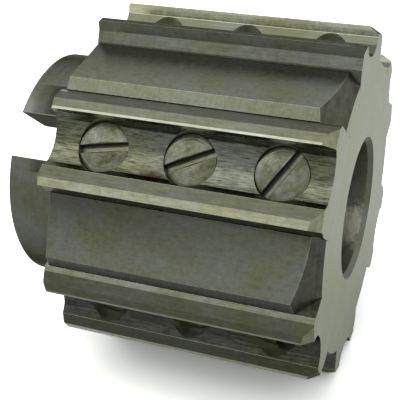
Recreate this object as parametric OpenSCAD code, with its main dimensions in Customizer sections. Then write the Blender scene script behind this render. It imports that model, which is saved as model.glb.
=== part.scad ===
// Shell-type face mill with screwed-in blades.
// A bored steel body with a driving hub carries six long cutting blades.
// Each blade lies in a straight slot and is held by three slotted screws
// whose heads sink into the trough between its two cutting edges.
// X is the tool axis, from the hub to the cutting face; Z is up.
// The origin is on the bore axis, in the plane of the rear ends of the blades.

/* [Body] */
// Diameter over the cutting edges
cut_d = 101.6; // [98:0.1:104]
// Length of the blades, up to the cutting face
body_l = 75; // [73:0.5:80]
// Distance of the body's rear shoulder from the rear ends of the blades
shoulder_x = 1.2; // [0.6:0.1:2]
// Height of the rib flats above the axis, beside the leading blade
rib_low = 43.8; // [43:0.1:44.4]
// Height of the rib crests above the axis
rib_crest = 47.8; // [47.4:0.1:48.2]
// Slope of the bevel between a crest and the following blade, in degrees
bevel_angle = 25; // [20:1:28]
// Length from the rear ends of the blades to the rear face of the hub
hub_l = 18.2; // [14:0.1:24]
// Diameter of the hub
hub_d = 67.5; // [62:0.5:67.5]
// Diameter of the bore
bore_d = 38.1; // [34:0.05:40]
// Leg of the chamfer at the front of the bore
bore_chamfer = 1.4; // [0.6:0.1:2]
// Width of the driving slot across the hub
drive_w = 12.8; // [10:0.1:14]

/* [Front corner] */
// Radius to which the ribs are turned down at the cutting face
front_r = 41.5; // [40.5:0.1:42.5]
// Slope of that turned bevel, in degrees from the axis
front_angle = 47.5; // [42:0.5:52]
// Length along the axis of the chamfer on the front of the blades
corner_l = 3.1; // [2:0.1:4]
// Depth of that chamfer
corner_d = 2.0; // [1:0.1:2.5]

/* [Blades] */
// Width of a blade in its slot
blade_w = 27; // [26.4:0.1:27.2]
// Height of the slot floor above the axis
seat_y = 33.9; // [33.9:0.1:34.5]
// Offset of the first cutting edge from the middle of its blade
edge1_x = 7.4; // [7.4:0.05:7.6]
// Offset of the second cutting edge from the middle of its blade
edge2_x = 12.9; // [12.6:0.05:13.1]
// Radius of the trough floor
trough_r = 10.4; // [9.6:0.1:11.2]
// Height of the trough floor above the axis
trough_y = 43.94; // [43.7:0.02:44.2]

/* [Screws] */
// Distance from the rear ends of the blades to the first screw
screw_first = 14.3; // [13:0.1:15]
// Distance from screw to screw
screw_pitch = 24; // [22:0.1:25]
// Diameter of the head
head_d = 13.8; // [13:0.1:13.8]
// Height of the head, without its dome
head_h = 5.6; // [5:0.1:6]
// Width of the driver slot in the head
driver_w = 2.2; // [1.6:0.1:2.6]
// Depth of the driver slot in the head
driver_d = 2.6; // [2:0.1:3]
// Diameter of the shank over its threads
shank_d = 9.4; // [8.6:0.1:9.5]

/* [Hidden] */
$fn = 96;

// Past: how far a cutting tool runs past the metal it cuts.
past = 5;
cut_r = cut_d / 2;

// Blades sit every 60 degrees. The turn puts both edges of the lowest blade
// on the ground, so that the cutter lies steadily.
blade_step = 60;
lie_angle = (asin(edge2_x / cut_r) - asin(edge1_x / cut_r)) / 2;

// How far the rear end of each blade was set forward.
blade_rear = [0, 0, 0, 0, 0, 1];

// Driving slot, measured from straight up towards the first blade's side.
drive_angle = 53.6;

// Heights of the cutting edges on the cutting circle.
edge1_y = sqrt(cut_r * cut_r - edge1_x * edge1_x);
edge2_y = sqrt(cut_r * cut_r - edge2_x * edge2_x);

// Trough: half width and height of the line where its floor meets its sides,
// and the tops of the two sides.
trough_side_y = trough_y + 1.76;
trough_axis_y = trough_y + trough_r;
trough_side_x = sqrt(trough_r * trough_r - pow(trough_axis_y - trough_side_y, 2));
rake_foot = [edge1_x - 0.3, edge1_y - 2.8];
far_side_top = [-trough_side_x - 1.5, trough_side_y + 2.3];

// A rib, in a frame midway between two blades: its flat rises from the low
// side to the crest, and a bevel falls from there to the following blade.
half_step = blade_step / 2;
rib_low_x = 9.7;
crest_x = 7.7;
bevel_w = 5.5;
edge_break = 0.3;

// The same rib in the frames of the blades: where its crest is, and the
// heights at which its surfaces meet the two walls of a slot.
crest_across = rib_crest * sin(half_step) - crest_x * cos(half_step);
crest_up = rib_crest * cos(half_step) + crest_x * sin(half_step);
rib_edge1_y = crest_up + (crest_across - blade_w / 2) * tan(half_step - bevel_angle);
rib_edge2_y = rib_low * cos(half_step) + rib_low_x * sin(half_step);

// Short open joints beside the blades at the cutting face.
joint_w = 0.35;
joint_h = 1.2;
joint_l = 1.2;
joint_top = sqrt(front_r * front_r - blade_w * blade_w / 4);

// Fits. The shank turns in its hole with a running clearance.
head_gap = 0.15;
shank_gap = 0.06;
blade_hole_gap = 0.3;
head_dome = 0.5;

// Threads: shallow ring grooves, a pitch apart.
thread_pitch = 1.5875;
thread_turns = 6.75;
thread_depth = 0.28;
thread_l = thread_pitch * thread_turns;
hole_spare = 0.8;
head_seat_y = trough_y - head_h;

// Driver slot directions of the three screws of a blade, from the tool axis,
// and how much they differ from blade to blade.
driver_turns = [11, 26.5, 59];
driver_step = 47;

steel_dark = [0.36, 0.37, 0.34];
steel_light = [0.60, 0.61, 0.54];
steel_screw = [0.50, 0.51, 0.45];

// Turns a drawing with x across, y outward and z along the tool to the tool's
// frame. A positive angle goes from straight up towards the first blade's side.
module around(angle) {
  rotate([90, 0, 90]) rotate([0, 0, angle]) children();
}

function blade_angle(k) = blade_step * (k - 1) + blade_step - lie_angle;

function turned(p, angle) = [
  p[0] * cos(angle) - p[1] * sin(angle),
  p[0] * sin(angle) + p[1] * cos(angle)
];

// Three corners of the rib that follows blade k.
function rib_corners(k) = [
  for (p = [
    [rib_low_x, rib_low],
    [-crest_x, rib_crest],
    [-crest_x - bevel_w, rib_crest - bevel_w * tan(bevel_angle)]
  ]) turned(p, blade_angle(k) + half_step)
];

module rib_star() {
  around(0)
    translate([0, 0, shoulder_x])
      linear_extrude(body_l - shoulder_x)
        polygon([for (k = [1:6]) each rib_corners(k)]);
}

// Slot for a blade, with its two outer corners broken.
module blade_slot(k) {
  half = blade_w / 2;
  flare = 3;
  around(blade_angle(k))
    translate([0, 0, -past])
      linear_extrude(body_l + 2 * past)
        polygon([
          [half, seat_y],
          [half, rib_edge1_y - edge_break],
          [half + flare, rib_edge1_y - edge_break + flare],
          [half + flare, cut_r + past],
          [-half - flare, cut_r + past],
          [-half - flare, rib_edge2_y - edge_break + flare],
          [-half, rib_edge2_y - edge_break],
          [-half, seat_y]
        ]);
}

// Open joint of a slot at the cutting face, on the side given by its sign.
module face_joint(k, side) {
  reach = 3 * joint_h;
  around(blade_angle(k))
    translate([side * blade_w / 2 - joint_w / 2, joint_top - joint_h, body_l - joint_l])
      cube([joint_w, reach, joint_l + past]);
}

// Turned bevel that takes the front ends of the ribs down to the cutting face.
module front_bevel() {
  deep = 12;
  around(0)
    rotate_extrude()
      polygon([
        [front_r - past * tan(front_angle), body_l + past],
        [front_r + deep, body_l - deep / tan(front_angle)],
        [front_r + deep, body_l + past]
      ]);
}

module bore_cut() {
  bore_r = bore_d / 2;
  rear_chamfer = 0.8;
  around(0)
    rotate_extrude()
      polygon([
        [0, -hub_l - past],
        [bore_r + rear_chamfer + past, -hub_l - past],
        [bore_r, -hub_l + rear_chamfer],
        [bore_r, body_l - bore_chamfer],
        [bore_r + bore_chamfer + past, body_l + past],
        [0, body_l + past]
      ]);
}

module hub() {
  hub_r = hub_d / 2;
  rim = 0.6;
  root = shoulder_x + 1;
  around(0)
    rotate_extrude()
      polygon([
        [0, -hub_l],
        [hub_r - rim, -hub_l],
        [hub_r, -hub_l + rim],
        [hub_r, root],
        [0, root]
      ]);
}

module drive_slot() {
  around(drive_angle)
    translate([-drive_w / 2, -cut_r, -hub_l - past])
      cube([drive_w, cut_d, hub_l + past]);
}

// Tapped hole for the screw of blade k at the given distance from the shoulder.
module tapped_hole(k, at) {
  bottom = seat_y - thread_l - hole_spare;
  around(blade_angle(k))
    translate([0, bottom, at])
      rotate([-90, 0, 0])
        cylinder(r = shank_d / 2 + shank_gap, h = seat_y + past - bottom);
}

module cutter_body() {
  color(steel_dark)
    difference() {
      union() {
        rib_star();
        hub();
      }
      for (k = [1:6]) {
        blade_slot(k);
        face_joint(k, 1);
        face_joint(k, -1);
        for (i = [0:2]) tapped_hole(k, screw_first + i * screw_pitch);
      }
      front_bevel();
      bore_cut();
      drive_slot();
    }
}

// The point at height y on the line through a and b.
function on_line(a, b, y) = [a[0] + (b[0] - a[0]) * (y - a[1]) / (b[1] - a[1]), y];

// Section of a blade. Going round from the foot: the back of the first edge
// with its two clearance faces and narrow land, its rake face, the trough,
// and the two faces and undercut back of the second edge. The sides of the
// trough run on below its rounded floor, which trough_floor() fills in.
module blade_section() {
  half = blade_w / 2;
  foot = 0.6;
  below = trough_y - 1;
  polygon([
    [half - foot, seat_y],
    [half, seat_y + foot],
    [half, rib_edge1_y],
    [half - 0.7, rib_edge1_y + 1.2],
    [edge1_x + 3.05, edge1_y - 1],
    [edge1_x + 0.65, edge1_y - 0.17],
    [edge1_x, edge1_y],
    rake_foot,
    on_line(rake_foot, [trough_side_x, trough_side_y], below),
    on_line(far_side_top, [-trough_side_x, trough_side_y], below),
    far_side_top,
    [-edge2_x + 2.3, edge2_y + 0.25],
    [-edge2_x, edge2_y],
    [-edge2_x + 0.3, edge2_y - 2.9],
    [-half, rib_edge2_y + 0.5],
    [-half, seat_y + foot],
    [-half + foot, seat_y]
  ]);
}

// Turned outline that the ends of blade k are ground to.
module blade_ends(k) {
  over = 1;
  rear = 0.5;
  slope = corner_l / corner_d;
  start = blade_rear[k - 1];
  rotate_extrude()
    polygon([
      [0, start],
      [cut_r - rear, start],
      [cut_r + over, start + rear + over],
      [cut_r + over, body_l - corner_l - over * slope],
      [cut_r - corner_d, body_l],
      [0, body_l]
    ]);
}

// Metal under the rounded floor of the trough, reaching a little into its sides.
module trough_floor() {
  lap = 0.8;
  side = trough_side_x + lap;
  difference() {
    translate([-side, trough_y - past, -past])
      cube([2 * side, trough_side_y + lap - trough_y + past, body_l + 2 * past]);
    translate([0, trough_axis_y, -2 * past])
      cylinder(r = trough_r, h = body_l + 4 * past);
  }
}

// Stepped hole for a screw: clearance for the shank, counterbore for the head.
module screw_hole(at) {
  translate([0, 0, at])
    rotate([-90, 0, 0]) {
      cylinder(r = shank_d / 2 + blade_hole_gap, h = cut_r);
      translate([0, 0, head_seat_y]) cylinder(r = head_d / 2 + head_gap, h = cut_r);
    }
}

module blade(k) {
  color(steel_light)
    around(blade_angle(k))
      difference() {
        intersection() {
          union() {
            translate([0, 0, -past])
              linear_extrude(body_l + 2 * past)
                blade_section();
            trough_floor();
          }
          blade_ends(k);
        }
        for (i = [0:2]) screw_hole(screw_first + i * screw_pitch);
      }
}

// Grooves of the thread, as seen in half section, from the tip upwards.
function thread_outline(r) = [
  for (i = [0:6], p = [[r, 0.2], [r - thread_depth, 0.5], [r, 0.8]])
    [p[0], (i + p[1]) * thread_pitch + hole_spare]
];

module screw_shape() {
  head_r = head_d / 2;
  shank_r = shank_d / 2;
  shank_l = head_seat_y - seat_y + thread_l;
  dome_r = (head_r * head_r + head_dome * head_dome) / (2 * head_dome);
  tip = 0.8;
  difference() {
    union() {
      translate([0, 0, -shank_l])
        rotate_extrude()
          polygon(concat(
            [[0, 0], [shank_r - tip, 0], [shank_r, tip]],
            [for (p = thread_outline(shank_r)) if (p[1] > tip && p[1] < thread_l - tip) p],
            [[shank_r, shank_l + 1], [0, shank_l + 1]]
          ));
      intersection() {
        cylinder(r = head_r, h = head_h + head_dome);
        translate([0, 0, head_h + head_dome - dome_r]) sphere(r = dome_r);
      }
    }
    translate([-head_r - 1, -driver_w / 2, head_h + head_dome - driver_d])
      cube([2 * head_r + 2, driver_w, driver_d + 1]);
  }
}

// Screw number i of blade k, counted from the shoulder.
module screw(k, i) {
  color(steel_screw)
    around(blade_angle(k))
      translate([0, head_seat_y, screw_first + i * screw_pitch])
        rotate([-90, 0, 0])
          rotate([0, 0, 90 + driver_turns[i] + driver_step * (k - 1)])
            screw_shape();
}

cutter_body();
blade(1);  // blade_1
blade(2);  // blade_2
blade(3);  // blade_3
blade(4);  // blade_4
blade(5);  // blade_5
blade(6);  // blade_6
screw(1, 0);  // screw_1_rear
screw(1, 1);  // screw_1_middle
screw(1, 2);  // screw_1_front
screw(2, 0);  // screw_2_rear
screw(2, 1);  // screw_2_middle
screw(2, 2);  // screw_2_front
screw(3, 0);  // screw_3_rear
screw(3, 1);  // screw_3_middle
screw(3, 2);  // screw_3_front
screw(4, 0);  // screw_4_rear
screw(4, 1);  // screw_4_middle
screw(4, 2);  // screw_4_front
screw(5, 0);  // screw_5_rear
screw(5, 1);  // screw_5_middle
screw(5, 2);  // screw_5_front
screw(6, 0);  // screw_6_rear
screw(6, 1);  // screw_6_middle
screw(6, 2);  // screw_6_front
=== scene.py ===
import math

import bmesh
import bpy
import numpy as np
from mathutils import Matrix, Vector


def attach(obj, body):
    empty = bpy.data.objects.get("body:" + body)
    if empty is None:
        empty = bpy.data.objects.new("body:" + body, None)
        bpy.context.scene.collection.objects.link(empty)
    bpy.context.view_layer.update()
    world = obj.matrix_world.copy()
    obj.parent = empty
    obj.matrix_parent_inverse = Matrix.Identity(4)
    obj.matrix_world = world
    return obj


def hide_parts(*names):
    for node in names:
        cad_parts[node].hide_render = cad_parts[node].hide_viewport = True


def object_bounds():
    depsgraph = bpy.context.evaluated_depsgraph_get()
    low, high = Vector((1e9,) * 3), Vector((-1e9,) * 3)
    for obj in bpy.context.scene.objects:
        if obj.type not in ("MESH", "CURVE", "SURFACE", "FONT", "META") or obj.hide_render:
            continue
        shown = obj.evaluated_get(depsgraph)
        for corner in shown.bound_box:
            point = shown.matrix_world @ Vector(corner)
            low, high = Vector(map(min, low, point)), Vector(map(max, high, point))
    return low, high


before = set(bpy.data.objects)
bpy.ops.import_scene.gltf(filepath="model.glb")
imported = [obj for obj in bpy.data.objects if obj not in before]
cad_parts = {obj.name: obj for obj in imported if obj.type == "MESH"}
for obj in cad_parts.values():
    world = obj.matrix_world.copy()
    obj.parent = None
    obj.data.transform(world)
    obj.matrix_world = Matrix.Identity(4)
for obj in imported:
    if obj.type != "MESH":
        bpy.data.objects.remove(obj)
cad_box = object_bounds()

# ---------------------------------------------------------------- camera
# The eye stands a little above the cutter and to the right of it, so that the
# side with the blades and the ground cutting face are both seen.
eye_place = (0.11562, -0.23449, 0.11679)
look_down, look_round = 26.04, 20.68
camera_data = bpy.data.cameras.new("bench_camera")
camera_data.lens = 83.0
camera_data.sensor_width = 36.0
camera_data.clip_start = 0.01
camera = bpy.data.objects.new("bench_camera", camera_data)
camera.location = eye_place
camera.rotation_euler = (math.radians(90 - look_down), 0, math.radians(look_round))
bpy.context.scene.collection.objects.link(camera)
bpy.context.scene.camera = camera
bpy.context.scene.view_settings.view_transform = "Standard"

# ------------------------------------------------------- floor and lamps
# A sheet of white board lies under the cutter, in a white room, with one broad
# soft box overhead, to the left. Looked at, the board has three coats of paper and
# a faint glow, so that it is white and still shows the cutter's shadow.
board_size, board_gap = 6.0, 0.00005
board_white = (0.80, 0.80, 0.79)
board_glow = 0.10
room_light_low, room_light_rise = 0.18, 0.62
room_light_colour = (0.97, 0.99, 1.0, 1)


def put(tree, kind, **settings):
    """Adds a node; a setting is a property's name, or an input's with its value or the socket it takes."""
    node = tree.nodes.new(kind)
    for name, value in settings.items():
        if hasattr(node, name):
            setattr(node, name, value)
            continue
        key = int(name[1:]) if name[0] == "i" and name[1:].isdigit() else name.replace("_", " ")
        socket = node.inputs[key]
        if isinstance(value, bpy.types.NodeSocket):
            tree.links.new(value, socket)
        else:
            socket.default_value = value
    return node


def seen_directly(tree):
    """1 for rays from the eye, off a gloss or through glass, and 0 for the soft light between surfaces."""
    path = put(tree, "ShaderNodeLightPath").outputs
    either = put(tree, "ShaderNodeMath", operation="MAXIMUM", i0=path["Is Camera Ray"],
                 i1=path["Is Glossy Ray"])
    return put(tree, "ShaderNodeMath", operation="MAXIMUM", i0=either.outputs[0],
               i1=path["Is Transmission Ray"]).outputs[0]


board_finish = bpy.data.materials.new("white_board")
board_finish.use_nodes = True
tree = board_finish.node_tree
tree.nodes.clear()
paper = put(tree, "ShaderNodeBsdfDiffuse", Color=(*board_white, 1))
glow = put(tree, "ShaderNodeEmission", Color=(1, 1, 1, 1), Strength=board_glow)
nothing = put(tree, "ShaderNodeEmission", Strength=0.0)
to_eye = put(tree, "ShaderNodeLightPath").outputs["Is Camera Ray"]
two_coats = put(tree, "ShaderNodeAddShader", i0=paper.outputs[0], i1=paper.outputs[0])
top_coats = put(tree, "ShaderNodeMixShader", Fac=to_eye, i1=nothing.outputs[0], i2=two_coats.outputs[0])
shown = put(tree, "ShaderNodeMixShader", Fac=seen_directly(tree), i1=nothing.outputs[0], i2=glow.outputs[0])
coats = put(tree, "ShaderNodeAddShader", i0=paper.outputs[0], i1=top_coats.outputs[0])
both = put(tree, "ShaderNodeAddShader", i0=coats.outputs[0], i1=shown.outputs[0])
put(tree, "ShaderNodeOutputMaterial", Surface=both.outputs[0])

board_mesh = bpy.data.meshes.new("white_board")
half = board_size / 2
level = cad_box[0].z - board_gap
board_mesh.from_pydata([(-half, -half, level), (half, -half, level), (half, half, level), (-half, half, level)],
                       [], [(0, 1, 2, 3)])
board_mesh.materials.append(board_finish)
board = bpy.data.objects.new("white_board", board_mesh)
bpy.context.scene.collection.objects.link(board)

room = bpy.data.worlds.new("white_room")
room.use_nodes = True
tree = room.node_tree
tree.nodes.clear()
bright = put(tree, "ShaderNodeBackground", Color=(1, 1, 1, 1), Strength=1.0)
direction = put(tree, "ShaderNodeTexCoord").outputs["Generated"]
up = put(tree, "ShaderNodeSeparateXYZ", Vector=direction).outputs["Z"]
rise = put(tree, "ShaderNodeMath", operation="MAXIMUM", i0=up, i1=0.0).outputs[0]
light_level = put(tree, "ShaderNodeMath", operation="MULTIPLY_ADD", i0=rise, i1=room_light_rise,
                  i2=room_light_low).outputs[0]
dim = put(tree, "ShaderNodeBackground", Color=room_light_colour, Strength=light_level)
walls = put(tree, "ShaderNodeMixShader", Fac=seen_directly(tree), i1=dim.outputs[0], i2=bright.outputs[0])
put(tree, "ShaderNodeOutputWorld", Surface=walls.outputs[0])
bpy.context.scene.world = room


def soft_box(name, place, size, radiance, tint):
    """An area lamp that faces the cutter. Its power comes from how bright its face is."""
    lamp_data = bpy.data.lights.new(name, "AREA")
    lamp_data.shape = "RECTANGLE"
    lamp_data.size, lamp_data.size_y = size
    lamp_data.energy = radiance * math.pi * size[0] * size[1]
    lamp_data.color = tint
    lamp = bpy.data.objects.new(name, lamp_data)
    lamp.location = place
    lamp.rotation_euler = Vector(place).to_track_quat("Z", "Y").to_euler()
    lamp.visible_camera = False
    bpy.context.scene.collection.objects.link(lamp)


soft_box("soft_box_above", place=(-0.24, -0.22, 0.66), size=(0.62, 0.72), radiance=1.4, tint=(1.0, 0.99, 0.95))

# ----------------------------------------------------------- cutter body
# One steel forging, turned and milled: bored for the arbor, with a driving hub behind
# and six ribs between the slots for the blades. The ribs are left as milled, dull and
# dark; the cutting face was ground in one pass with the blades in place.
blade_count, blade_step = 6, 60
body_edge_break, rim_step = 0.00016, 0.0025
shoulder_x, face_x, bore_reach, ramp_reach = 0.0012, 0.075, 0.0206, 0.038
slot_lie, slot_half_width, crest_turn = 3.1673, 0.0135, 25.0
ring_fineness, blot_fineness, wander_fineness = 3200.0, 650.0, 60.0
warm, cool = (1.02, 1.03, 0.88), (0.97, 0.99, 1.07)
cloud_low, cloud_high = 0.38, 0.62
darkest_tone, painted_shade_reach, patch_raggedness = 0.25, 0.0035, 2.2
roughness_spread, blot_height, dent_strength = 0.24, 0.7, 0.5
place_step = 0.2


def steel(name, colour, roughness, lay, streaks=0.5, mottle=0.45, clouds=0.35, cloud_size=0.013,
          dent=0.00003, glance=0.7, painted_shade=0.0, stains_and_painted_patches=()):
    """Machined steel. Lay is how its marks run: three scales in the piece's own frame, or the axis they go
    round. Glance is how much of its shine is left at a low angle, where a dull or oily skin loses it. Painted
    shade darkens it beside a blade. A patch, of rust, painted shade or a painted highlight, is a place, its
    size, strength and colour."""
    finish = bpy.data.materials.new(name)
    finish.use_nodes = True
    tree = finish.node_tree
    tree.nodes.clear()
    place = put(tree, "ShaderNodeAttribute", attribute_name="own_place").outputs["Vector"]
    if isinstance(lay, str):
        along = put(tree, "ShaderNodeSeparateXYZ", Vector=place).outputs[lay]
        square = (0.0, 1.0, 1.0) if lay == "X" else (1.0, 1.0, 0.0)
        across = put(tree, "ShaderNodeVectorMath", operation="MULTIPLY", i0=place, i1=square).outputs[0]
        radius = put(tree, "ShaderNodeVectorMath", operation="LENGTH", i0=across).outputs["Value"]
        ring = put(tree, "ShaderNodeMath", operation="ADD", i0=along, i1=radius).outputs[0]
        rings = put(tree, "ShaderNodeVectorMath", operation="SCALE", i0=(ring_fineness, 0.0, 0.0),
                    Scale=ring).outputs[0]
        slow = put(tree, "ShaderNodeVectorMath", operation="SCALE", i0=place, Scale=wander_fineness).outputs[0]
        marks = put(tree, "ShaderNodeVectorMath", operation="ADD", i0=rings, i1=slow).outputs[0]
    else:
        marks = put(tree, "ShaderNodeMapping", Vector=place, Scale=lay).outputs[0]
    fine = put(tree, "ShaderNodeTexNoise", Vector=marks, Scale=1.0, Detail=4.0, Roughness=0.62).outputs["Fac"]
    blot = put(tree, "ShaderNodeTexNoise", Vector=place, Scale=blot_fineness, Detail=5.0,
               Roughness=0.72).outputs["Fac"]
    cloud = put(tree, "ShaderNodeTexNoise", Vector=place, Scale=1 / cloud_size, Detail=3.0,
                Roughness=0.55).outputs["Fac"]
    tone = put(tree, "ShaderNodeMath", operation="MULTIPLY_ADD", i0=fine, i1=2 * streaks,
               i2=1 - streaks - mottle - clouds).outputs[0]
    tone = put(tree, "ShaderNodeMath", operation="MULTIPLY_ADD", i0=blot, i1=2 * mottle, i2=tone).outputs[0]
    tone = put(tree, "ShaderNodeMath", operation="MULTIPLY_ADD", i0=cloud, i1=2 * clouds, i2=tone).outputs[0]
    tone = put(tree, "ShaderNodeMath", operation="MAXIMUM", i0=tone, i1=darkest_tone).outputs[0]
    # Painted shade: the tone darkens towards the wall of a blade.
    if painted_shade:
        gap = put(tree, "ShaderNodeAttribute", attribute_name="from_blade").outputs["Fac"]
        away_from_shade = put(tree, "ShaderNodeMapRange", interpolation_type="SMOOTHSTEP", Value=gap, From_Min=0.0,
                    From_Max=painted_shade_reach, To_Min=1 - painted_shade, To_Max=1.0).outputs[0]
        tone = put(tree, "ShaderNodeMath", operation="MULTIPLY", i0=tone, i1=away_from_shade).outputs[0]
    hue = put(tree, "ShaderNodeMapRange", Value=cloud, From_Min=cloud_low, From_Max=cloud_high).outputs[0]
    tinted = put(tree, "ShaderNodeMix", data_type="RGBA", i0=hue,
                 i6=(*(c * w for c, w in zip(colour, warm)), 1),
                 i7=(*(c * w for c, w in zip(colour, cool)), 1)).outputs[2]
    skin_colour = put(tree, "ShaderNodeVectorMath", operation="SCALE", i0=tinted, Scale=tone).outputs[0]
    # Each patch paints its colour in: rust, painted shade or a painted highlight.
    for spot, size, strength, patch_colour in stains_and_painted_patches:
        away = put(tree, "ShaderNodeVectorMath", operation="DISTANCE", i0=place, i1=spot).outputs["Value"]
        ragged = put(tree, "ShaderNodeMath", operation="MULTIPLY_ADD", i0=blot, i1=-patch_raggedness * size,
                     i2=away).outputs[0]
        patch_weight = put(tree, "ShaderNodeMapRange", interpolation_type="SMOOTHSTEP", Value=ragged, From_Min=-size,
                      From_Max=0.1 * size, To_Min=strength, To_Max=0.0).outputs[0]
        skin_colour = put(tree, "ShaderNodeMix", data_type="RGBA", i0=patch_weight, i6=skin_colour,
                          i7=(*patch_colour, 1)).outputs[2]
    grip = put(tree, "ShaderNodeMath", operation="MULTIPLY_ADD", i0=blot, i1=roughness_spread,
               i2=roughness - roughness_spread / 2).outputs[0]
    height = put(tree, "ShaderNodeMath", operation="MULTIPLY_ADD", i0=blot, i1=blot_height, i2=fine).outputs[0]
    relief = put(tree, "ShaderNodeBump", Strength=dent_strength, Distance=dent, Height=height).outputs[0]
    skin = put(tree, "ShaderNodeBsdfPrincipled", Base_Color=skin_colour, Metallic=1.0, Roughness=grip,
               Normal=relief, Specular_Tint=(glance, glance, glance, 1))
    put(tree, "ShaderNodeOutputMaterial", Surface=skin.outputs[0])
    return finish


def keep_own_place(mesh, piece_number=0):
    """Stores each point's place in the piece's own frame, which its finish follows wherever the piece is
    put. Like pieces lie apart in their finish, so that no two have the same marks."""
    kept = mesh.attributes.get("own_place") or mesh.attributes.new("own_place", "FLOAT_VECTOR", "POINT")
    places = np.zeros(3 * len(mesh.vertices), np.float32)
    mesh.vertices.foreach_get("co", places)
    places[2::3] += place_step * piece_number
    kept.data.foreach_set("vector", places)


def evenly_shaded(piece):
    """Gives flat faces flat shading up to their rounded edges: each corner follows its largest face."""
    even = piece.modifiers.new("even_shading", "WEIGHTED_NORMAL")
    even.keep_sharp = True
    bpy.context.view_layer.update()
    shaded = bpy.data.meshes.new_from_object(piece.evaluated_get(bpy.context.evaluated_depsgraph_get()))
    piece.modifiers.clear()
    piece.data = shaded


# Rust is a real stain colour; the second colour is painted shade.
rust, painted_trough_shade = (0.034, 0.019, 0.012), (0.022, 0.022, 0.019)
body_finishes = {
    # The ribs are darkened beside each blade with painted shade.
    "rib": steel("milled_rib_steel", (0.156, 0.162, 0.125), 0.30, (500, 1500, 1500), streaks=0.3, painted_shade=0.6),
    "strip": steel("ground_rib_strip", (0.106, 0.111, 0.080), 0.24, (1500, 900, 900), streaks=0.35),
    # The strip that faces down in front is a darker copy of the strip: painted shade.
    "low_strip": steel("shaded_rib_strip", (0.086, 0.088, 0.074), 0.26, (300, 1300, 1300), glance=1.0),
    "ramp": steel("milled_ramp_steel", (0.084, 0.086, 0.064), 0.34, (1300, 150, 150), mottle=0.7,
                  stains_and_painted_patches=[((0.0738, -0.0135, 0.0392), 0.0022, 0.8, rust)]),
    "face": steel("ground_face_steel", (0.385, 0.404, 0.300), 0.34, "X", streaks=0.2, mottle=0.25, clouds=0.2,
                  glance=1.0),
    "hub": steel("turned_hub_steel", (0.128, 0.132, 0.108), 0.30, "X", streaks=0.3, mottle=0.4, clouds=0.5,
                 glance=0.3),
    "bore": steel("turned_bore_steel", (0.29, 0.30, 0.235), 0.38, "X", streaks=0.3, mottle=0.25,
                  # The bore's light patch is a painted highlight.
                  stains_and_painted_patches=[((0.0714, 0.01405, -0.0129), 0.0078, 1.0, (1.0, 1.0, 0.82))]),
    "rim": steel("turned_bore_chamfer", (0.135, 0.139, 0.108), 0.26, "X", streaks=0.3, mottle=0.3),
    "edge": steel("worn_body_edge", (0.40, 0.41, 0.34), 0.26, (300, 1500, 1500)),
}
body_order = list(body_finishes)
end_look, rim_look, side_look, ramp_looks = 0.9, 0.4, 0.1, (0.6, 0.85)
same_place, same_turn = 0.0001, 3


def body_finish_of(face):
    """Which finish a face of the body has, from where it is and how far it looks along the axis."""
    middle, look = face.calc_center_median(), face.normal
    reach = math.hypot(middle.y, middle.z)
    turn = (math.degrees(math.atan2(-look.y, look.z)) + slot_lie - blade_step / 2) % blade_step
    if reach < bore_reach and abs(look.x) < end_look:
        return "rim" if look.x > rim_look else "bore"
    if look.x > end_look and middle.x > face_x - same_place:
        return "face"
    if middle.x < shoulder_x + same_place:
        return "hub"
    if ramp_looks[0] < look.x < ramp_looks[1] and reach > ramp_reach:
        return "ramp"
    if abs(look.x) < side_look and abs(turn - crest_turn) < same_turn:
        # Where the strip faces down in front it takes the darker copy, which is painted shade.
        faces_down_in_front = look.y < -0.8 and look.z < -0.2
        return "low_strip" if faces_down_in_front else "strip"
    return "rib"


body_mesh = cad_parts["cutter_body"].data.copy()
body_mesh.name = "cutter_body_dressed"
body_mesh.materials.clear()
for finish in body_finishes.values():
    body_mesh.materials.append(finish)
form = bmesh.new()
form.from_mesh(body_mesh)
same_point, flat_within = 1e-6, math.radians(0.4)
sharp_from, shaded_apart_from = math.radians(20), math.radians(25)
bmesh.ops.remove_doubles(form, verts=form.verts, dist=same_point)
bmesh.ops.dissolve_limit(form, angle_limit=flat_within, verts=form.verts, edges=form.edges)
for face in form.faces:
    face.material_index = body_order.index(body_finish_of(face))
sharp = [edge for edge in form.edges if edge.calc_face_angle(0) > sharp_from
         and (edge.calc_length() > rim_step or math.hypot(*edge.verts[0].co.yz) > ramp_reach)]
bmesh.ops.bevel(form, geom=sharp, offset=body_edge_break, offset_type="OFFSET", segments=2, profile=0.5,
                affect="EDGES", clamp_overlap=True, material=body_order.index("edge"))
for face in form.faces:
    face.smooth = True
form.to_mesh(body_mesh)
form.free()
body_mesh.set_sharp_from_angle(angle=shaded_apart_from)
keep_own_place(body_mesh)
# Each point's gap to the nearest slot wall, which sets the painted shade on the ribs beside a blade.
gap_to_wall = body_mesh.attributes.new("from_blade", "FLOAT", "POINT")
slot_angles = [math.radians(blade_step * k - slot_lie) for k in range(blade_count // 2)]
for vertex, kept in zip(body_mesh.vertices, gap_to_wall.data):
    across = min(abs(vertex.co.y * math.cos(angle) + vertex.co.z * math.sin(angle)) for angle in slot_angles)
    kept.value = across - slot_half_width
body = bpy.data.objects.new("cutter_body_dressed", body_mesh)
bpy.context.scene.collection.objects.link(body)
evenly_shaded(body)
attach(body, "mill")
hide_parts("cutter_body")

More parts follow.
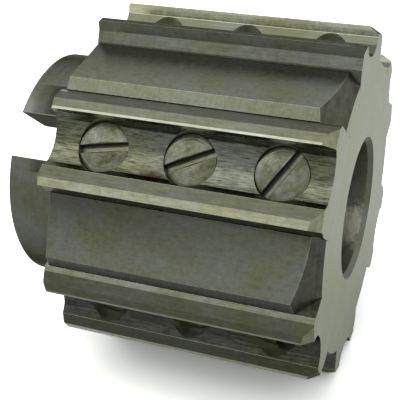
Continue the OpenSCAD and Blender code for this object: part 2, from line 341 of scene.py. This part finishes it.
# ------------------------------------------------------------- six blades
# Six long bars of tool steel lie in the slots of the body, ground all over. Each has
# two cutting edges with a rounded trough between them, and three counterbored holes
# in the trough. The front corners were ground to a short chamfer on the body.
mm = 0.001
body_length, cutting_radius = 75.0, 50.8
blade_width, slot_floor = 27.0, 33.9
rib_edge = 45.57
first_edge, second_edge = 7.4, 12.9
first_edge_top = math.sqrt(cutting_radius ** 2 - first_edge ** 2)
second_edge_top = math.sqrt(cutting_radius ** 2 - second_edge ** 2)
trough_radius, trough_floor, trough_rise = 10.4, 43.94, 1.76
trough_wall = trough_floor + trough_rise
trough_half = math.sqrt(trough_radius ** 2 - (trough_radius - trough_rise) ** 2)
chamfer_length, chamfer_depth = 3.1, 2.0
rear_chamfer = 0.5
hole_places = (14.3, 38.3, 62.3)
head_radius, head_height, head_dome, head_ring = 6.9, 5.6, 0.5, 0.15
head_seat = trough_floor - head_height
shank_hole = 5.0
past, beyond = 5, 1
lie = math.degrees(math.asin(second_edge / cutting_radius) - math.asin(first_edge / cutting_radius)) / 2
blade_finishes = {
    "edge": steel("worn_blade_edge", (0.36, 0.37, 0.30), 0.22, (1500, 1500, 300)),
    "land": steel("lapped_land_steel", (0.255, 0.262, 0.205), 0.16, (1500, 1500, 60), streaks=0.3, mottle=0.3),
    "clearance": steel("ground_clearance_steel", (0.098, 0.101, 0.073), 0.22, (1600, 1600, 200), clouds=0.2),
    "relief": steel("ground_relief_steel", (0.092, 0.095, 0.070), 0.24, (1600, 1600, 200), glance=0.8),
    "rake": steel("ground_rake_steel", (0.50, 0.515, 0.375), 0.24, (1800, 1800, 60), glance=1.0),
    "trough": steel("milled_trough_steel", (0.108, 0.113, 0.084), 0.26, (2600, 2600, 330), streaks=1.7,
                    mottle=0.5, dent=0.00009,
                    stains_and_painted_patches=[((-0.0062, 0.0455, 0.2298), 0.0042, 0.9, rust),
                            ((0.0055, 0.0452, 0.2695), 0.0022, 0.4, rust),
                            # This wide dark patch over blade 2's trough is painted shade.
                            ((0.0, 0.0450, 0.4400), 0.0600, 0.55, painted_trough_shade)]),
    "flank": steel("ground_flank_steel", (0.072, 0.075, 0.058), 0.22, (1600, 1600, 200), clouds=0.2),
    "outer": steel("ground_outer_steel", (0.335, 0.345, 0.245), 0.22, (1600, 1600, 250), clouds=0.2,
                   glance=0.3),
    "step": steel("ground_step_steel", (0.198, 0.203, 0.157), 0.28, (1600, 1600, 120), glance=1.0),
    "back": steel("ground_back_steel", (0.118, 0.122, 0.093), 0.28, (1600, 1600, 200), glance=1.0),
    "foot": steel("ground_foot_steel", (0.140, 0.144, 0.112), 0.28, (1600, 1600, 200), glance=1.0),
    "face": steel("ground_blade_end", (0.385, 0.404, 0.300), 0.34, (1200, 300, 1200), streaks=0.2, mottle=0.25,
                  clouds=0.2, glance=1.0),
    # The corner chamfer's colour is made lighter as a painted highlight.
    "corner": steel("highlit_corner_chamfer", (0.24, 0.25, 0.18), 0.26, (300, 1500, 300), glance=0.3),
    "hole": steel("drilled_hole_steel", (0.33, 0.33, 0.27), 0.35, (300, 3000, 300), glance=1.0),
}

# Corners of a blade's section, going round from the foot: across, outward, rounding, finish of the rounding
# and finish of the face that follows. A run goes across from an edge, and a drop or rise goes in or out.
side, foot_break = blade_width / 2, 0.6
step_run, step_rise = 0.7, 1.2
clearance_run, clearance_drop = 3.05, 1.0
land_run, land_drop = 0.65, 0.17
rake_run, rake_drop = 0.3, 2.8
lip_run, lip_rise = 1.5, 2.3
outer_run, outer_rise = 2.3, 0.25
back_run, back_drop, back_shoulder = 0.3, 2.9, 43.3
trough_steps = 12
blade_corners = [
    (side - foot_break, slot_floor, 0, "back", "back"),
    (side, slot_floor + foot_break, 0, "back", "back"),
    (side, rib_edge, 0.12, "edge", "step"),
    (side - step_run, rib_edge + step_rise, 0.2, "edge", "relief"),
    (first_edge + clearance_run, first_edge_top - clearance_drop, 0.3, "clearance", "clearance"),
    (first_edge + land_run, first_edge_top - land_drop, 0.05, "edge", "land"),
    (first_edge, first_edge_top, 0.02, "edge", "rake"),
    (first_edge - rake_run, first_edge_top - rake_drop, 0.25, "rake", "trough"),
    (trough_half, trough_wall, 0, "trough", "trough"),
]
for step in range(1, 2 * trough_steps):
    swing = math.asin(trough_half / trough_radius) * (1 - step / trough_steps)
    rise = trough_radius * (1 - math.cos(swing))
    blade_corners.append((trough_radius * math.sin(swing), trough_floor + rise, 0, "trough", "trough"))
blade_corners += [
    (-trough_half, trough_wall, 0, "trough", "trough"),
    (-trough_half - lip_run, trough_wall + lip_rise, 0.15, "edge", "flank"),
    (-second_edge + outer_run, second_edge_top + outer_rise, 0.12, "flank", "outer"),
    (-second_edge, second_edge_top, 0.02, "edge", "back"),
    (-second_edge + back_run, second_edge_top - back_drop, 0.1, "back", "foot"),
    (-side, back_shoulder, 0.1, "edge", "back"),
    (-side, slot_floor + foot_break, 0, "back", "back"),
    (-side + foot_break, slot_floor, 0, "back", "back"),
]


def rounded(corners, steps=3):
    """The outline with its corners rounded off, as (across, outward, finish of the next face)."""
    outline = []
    for number, (across, outward, radius, rubbed, finish) in enumerate(corners):
        here = Vector((across, outward))
        if radius == 0:
            outline.append((across, outward, finish))
            continue
        back = (Vector(corners[number - 1][:2]) - here).normalized()
        on = (Vector(corners[(number + 1) % len(corners)][:2]) - here).normalized()
        opening = back.angle(on)
        middle = here + (back + on).normalized() * radius / math.sin(opening / 2)
        start = here + back * radius / math.tan(opening / 2) - middle
        end = here + on * radius / math.tan(opening / 2) - middle
        sweep = start.angle_signed(end)
        for step in range(steps + 1):
            turn = Matrix.Rotation(-sweep * step / steps, 2)
            point = middle + turn @ start
            outline.append((point.x, point.y, finish if step == steps else rubbed))
    return outline


def bar(name, outline, from_z, to_z, finishes):
    """A straight bar with the outline's section, in millimetres, with z along it."""
    order = list(finishes)
    form = bmesh.new()
    rings = [[form.verts.new((x, y, z)) for x, y, _ in outline] for z in (from_z, to_z)]
    for number, (_, _, finish) in enumerate(outline):
        following = (number + 1) % len(outline)
        face = form.faces.new((rings[0][number], rings[0][following], rings[1][following], rings[1][number]))
        face.material_index = order.index(finish)
    form.faces.new(rings[1]).material_index = order.index("face")
    form.faces.new(list(reversed(rings[0]))).material_index = order.index("face")
    bmesh.ops.recalc_face_normals(form, faces=form.faces)
    return finished(name, form, finishes)


def finished(name, form, finishes):
    """Puts the form in a new object of the scene, with its finishes."""
    mesh = bpy.data.meshes.new(name)
    form.to_mesh(mesh)
    form.free()
    for finish in finishes.values():
        mesh.materials.append(finish)
    piece = bpy.data.objects.new(name, mesh)
    bpy.context.scene.collection.objects.link(piece)
    return piece


def lathe(name, outline, finishes, steps=96, about="z"):
    """A solid turned about an axis. The outline gives (radius, height, finish of the next face), and starts
    and ends on the axis."""
    order = list(finishes)
    form = bmesh.new()
    rings = []
    for radius, height, _ in outline:
        if radius == 0:
            rings.append([form.verts.new((0, 0, height))])
            continue
        rings.append([form.verts.new((radius * math.cos(math.tau * s / steps),
                                      radius * math.sin(math.tau * s / steps), height)) for s in range(steps)])
    for lower, upper, (_, _, finish) in zip(rings, rings[1:], outline):
        for s in range(steps):
            t = (s + 1) % steps
            corners = [lower[s % len(lower)], lower[t % len(lower)],
                       upper[t % len(upper)], upper[s % len(upper)]]
            face = form.faces.new(list(dict.fromkeys(corners)))
            face.material_index = order.index(finish)
    bmesh.ops.recalc_face_normals(form, faces=form.faces)
    if about == "y":
        bmesh.ops.rotate(form, verts=form.verts, matrix=Matrix.Rotation(math.radians(-90), 3, "X"))
    return finished(name, form, finishes)


def machine(piece, tool, operation="DIFFERENCE"):
    """Cuts the piece with the tool, or down to it, and takes the tool away."""
    cut = piece.modifiers.new("cut", "BOOLEAN")
    cut.object, cut.operation, cut.solver = tool, operation, "EXACT"
    cut.material_mode = "INDEX"
    bpy.context.view_layer.update()
    shaped = bpy.data.meshes.new_from_object(piece.evaluated_get(bpy.context.evaluated_depsgraph_get()))
    piece.modifiers.clear()
    piece.data = shaped
    bpy.data.objects.remove(tool)


def ground_blade(rear):
    """The mesh of a blade whose rear end is that far forward, in its own frame: across, outward, along."""
    blank = bar("blade", rounded(blade_corners), -past, body_length + past, blade_finishes)
    chamfer_run = chamfer_length / chamfer_depth
    machine(blank, lathe("blade_ends", [
        (0, rear, "face"),
        (cutting_radius - rear_chamfer, rear, "corner"),
        (cutting_radius + beyond, rear + rear_chamfer + beyond, "corner"),
        (cutting_radius + beyond, body_length - chamfer_length - chamfer_run, "corner"),
        (cutting_radius - chamfer_depth, body_length, "face"),
        (0, body_length, "face"),
    ], blade_finishes, steps=360), "INTERSECT")
    for place in hole_places:
        drill = lathe("hole", [
            (0, 0, "hole"),
            (shank_hole, 0, "hole"),
            (shank_hole, head_seat, "hole"),
            (head_radius + head_ring, head_seat, "hole"),
            (head_radius + head_ring, cutting_radius + past, "hole"),
            (0, cutting_radius + past, "hole"),
        ], blade_finishes, about="y")
        drill.location.z = place
        machine(blank, drill)
    mesh = blank.data
    bpy.data.objects.remove(blank)
    mesh.transform(Matrix.Scale(mm, 4))
    for face in mesh.polygons:
        face.use_smooth = True
    mesh.set_sharp_from_angle(angle=math.radians(24))
    return mesh


def set_round_the_tool(number):
    """Turns a blade's own frame, across, outward and along, to its place in the cutter."""
    angle = math.radians(blade_step * number - lie)
    return Matrix(((0, 0, 1, 0),
                   (math.cos(angle), -math.sin(angle), 0, 0),
                   (math.sin(angle), math.cos(angle), 0, 0),
                   (0, 0, 0, 1)))


# Some surfaces differ, blade by blade: painted highlight, painted shade and finer marks, as noted below.
painted_light_and_marks_by_blade = {
    # Blade 2: its outer face is painted light, a painted highlight; its trough is painted shade.
    2: {"outer": steel("highlit_outer_steel", (0.56, 0.575, 0.44), 0.24, (1600, 1600, 250), clouds=0.2,
                       glance=0.8),
        "trough": steel("shaded_trough_steel", (0.050, 0.051, 0.041), 0.24, (2600, 2600, 200), streaks=1.4,
                        mottle=0.8)},
    # Blade 5: its back is painted light, a painted highlight.
    5: {"back": steel("highlit_back_steel", (0.34, 0.35, 0.25), 0.26, (1600, 1600, 200), glance=1.0)},
    # Blade 6: its outer face and corner chamfer are painted shade; its trough has finer marks.
    6: {"outer": steel("shaded_outer_steel", (0.150, 0.155, 0.115), 0.24, (1600, 1600, 250), clouds=0.2,
                       glance=0.3),
        "corner": steel("shaded_corner_chamfer", (0.095, 0.100, 0.075), 0.26, (300, 1500, 300), glance=0.3),
        "trough": steel("rubbed_trough_steel", (0.108, 0.113, 0.084), 0.24, (2600, 2600, 60), streaks=0.5,
                        mottle=0.2)},
}
set_forward = 1.0
full_blade, short_blade = ground_blade(0.0), ground_blade(set_forward)
for number in range(1, blade_count + 1):
    blade_mesh = short_blade if number == 6 else full_blade
    piece = bpy.data.objects.new(f"blade_{number}_ground", blade_mesh.copy())
    keep_own_place(piece.data, number)
    piece.data.transform(set_round_the_tool(number))
    for finish, skin in painted_light_and_marks_by_blade.get(number, {}).items():
        piece.data.materials[list(blade_finishes).index(finish)] = skin
    bpy.context.scene.collection.objects.link(piece)
    evenly_shaded(piece)
    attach(piece, "mill")
    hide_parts(f"blade_{number}")

# -------------------------------------------------------- eighteen screws
# Slotted screws with low domed heads hold each blade down, three to a blade. They are
# turned from bar, threaded, and hardened dark. In each slot, one wall and the floor beside it are
# painted shade, and the other wall is a painted highlight; both lips of the slot are light.
driver_width, driver_depth, slot_burr = 2.2, 2.6, 0.16
slot_shaded_to, slot_flare = 0.35, 3
shank_radius, thread_pitch, thread_turns, thread_depth = 4.7, 1.5875, 6.75, 0.28
shank_tip, groove_count, groove = 0.8, 5, ((0.2, 0), (0.5, thread_depth), (0.8, 0))
head_break, head_rim, dome_steps = 0.15, ((0, -0.25), (0.09, -0.08)), 12
rim_in, rim_up = 0.28, 0.02
driver_turns = (11.0, 26.5, 59.0)
driver_step = 47.0
screw_names = ("rear", "middle", "front")
screw_finishes = {
    "face": steel("turned_screw_head", (0.130, 0.135, 0.100), 0.20, "Z", streaks=0.12, mottle=0.9, clouds=1.0,
                  cloud_size=0.005, dent=0.00022),
    "edge": steel("rubbed_screw_edge", (0.17, 0.175, 0.14), 0.24, "Z"),
    "slot": steel("milled_screw_slot", (0.175, 0.178, 0.135), 0.30, (300, 1500, 300), mottle=0.9),
    "painted_shade": steel("shaded_slot_wall", (0.075, 0.076, 0.060), 0.40, (300, 1500, 300)),
    "light_wall_and_lips": steel("light_slot_wall_and_lips", (0.42, 0.43, 0.34), 0.22, (1500, 1500, 300), mottle=1.2),
    "shank": steel("threaded_shank", (0.13, 0.13, 0.11), 0.35, "Z"),
}
shank_length = head_seat - slot_floor + thread_turns * thread_pitch
dome_radius = (head_radius ** 2 + head_dome ** 2) / (2 * head_dome)
screw_outline = [(0, -shank_length, "shank"),
                 (shank_radius - shank_tip, -shank_length, "shank"),
                 (shank_radius, -shank_length + shank_tip, "shank")]
for turn in range(1, groove_count + 1):
    for rise, cut in groove:
        height = -shank_length + shank_tip + (turn + rise) * thread_pitch
        screw_outline.append((shank_radius - cut, height, "shank"))
screw_outline += [(shank_radius, 0, "shank"),
                  (head_radius - head_break, 0, "face"),
                  (head_radius, head_break, "face")]
screw_outline += [(head_radius - inward, head_height + upward, "edge") for inward, upward in head_rim]
screw_outline.append((head_radius - rim_in, head_height + rim_up, "face"))
for step in range(1, dome_steps):
    radius = (head_radius - rim_in) * (1 - step / dome_steps)
    height = head_height + head_dome - dome_radius + math.sqrt(dome_radius ** 2 - radius ** 2)
    screw_outline.append((radius, height, "face"))
screw_outline.append((0, head_height + head_dome, "face"))
blank = lathe("screw", screw_outline, screw_finishes)
slot_half, head_top = driver_width / 2, head_height + head_dome
slot_bottom, slot_lip = head_top - driver_depth, head_top - 2 * slot_burr
# The saw leaves one wall and part of the floor in painted shade, and the other wall as a painted highlight.
slitting_saw = bar("slot", [(-slot_half, slot_bottom, "painted_shade"),
                            (-slot_shaded_to * slot_half, slot_bottom, "slot"),
                            (slot_half, slot_bottom, "light_wall_and_lips"),
                            (slot_half, slot_lip, "light_wall_and_lips"),
                            (slot_half + slot_flare, head_top + slot_flare, "slot"),
                            (-slot_half - slot_flare, head_top + slot_flare, "light_wall_and_lips"),
                            (-slot_half, slot_lip, "painted_shade")], -2 * past, 2 * past, screw_finishes)
slitting_saw.rotation_euler = (math.radians(90), 0, math.radians(90))
machine(blank, slitting_saw)
screw_mesh = blank.data
bpy.data.objects.remove(blank)
screw_mesh.transform(Matrix.Scale(mm, 4))
for face in screw_mesh.polygons:
    face.use_smooth = True
screw_mesh.set_sharp_from_angle(angle=math.radians(30))
for number in range(1, blade_count + 1):
    for row, (place, screw_name, turn) in enumerate(zip(hole_places, screw_names, driver_turns)):
        name = f"screw_{number}_{screw_name}"
        piece = bpy.data.objects.new(name + "_turned", screw_mesh.copy())
        keep_own_place(piece.data, len(hole_places) * number + row)
        bpy.context.scene.collection.objects.link(piece)
        seat = Matrix.Translation((0, head_seat * mm, place * mm))
        stand = seat @ Matrix.Rotation(math.radians(-90), 4, "X")
        spin = Matrix.Rotation(math.radians(90 + turn + driver_step * (number - 1)), 4, "Z")
        piece.data.transform(set_round_the_tool(number) @ stand @ spin)
        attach(piece, name)
        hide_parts(name)
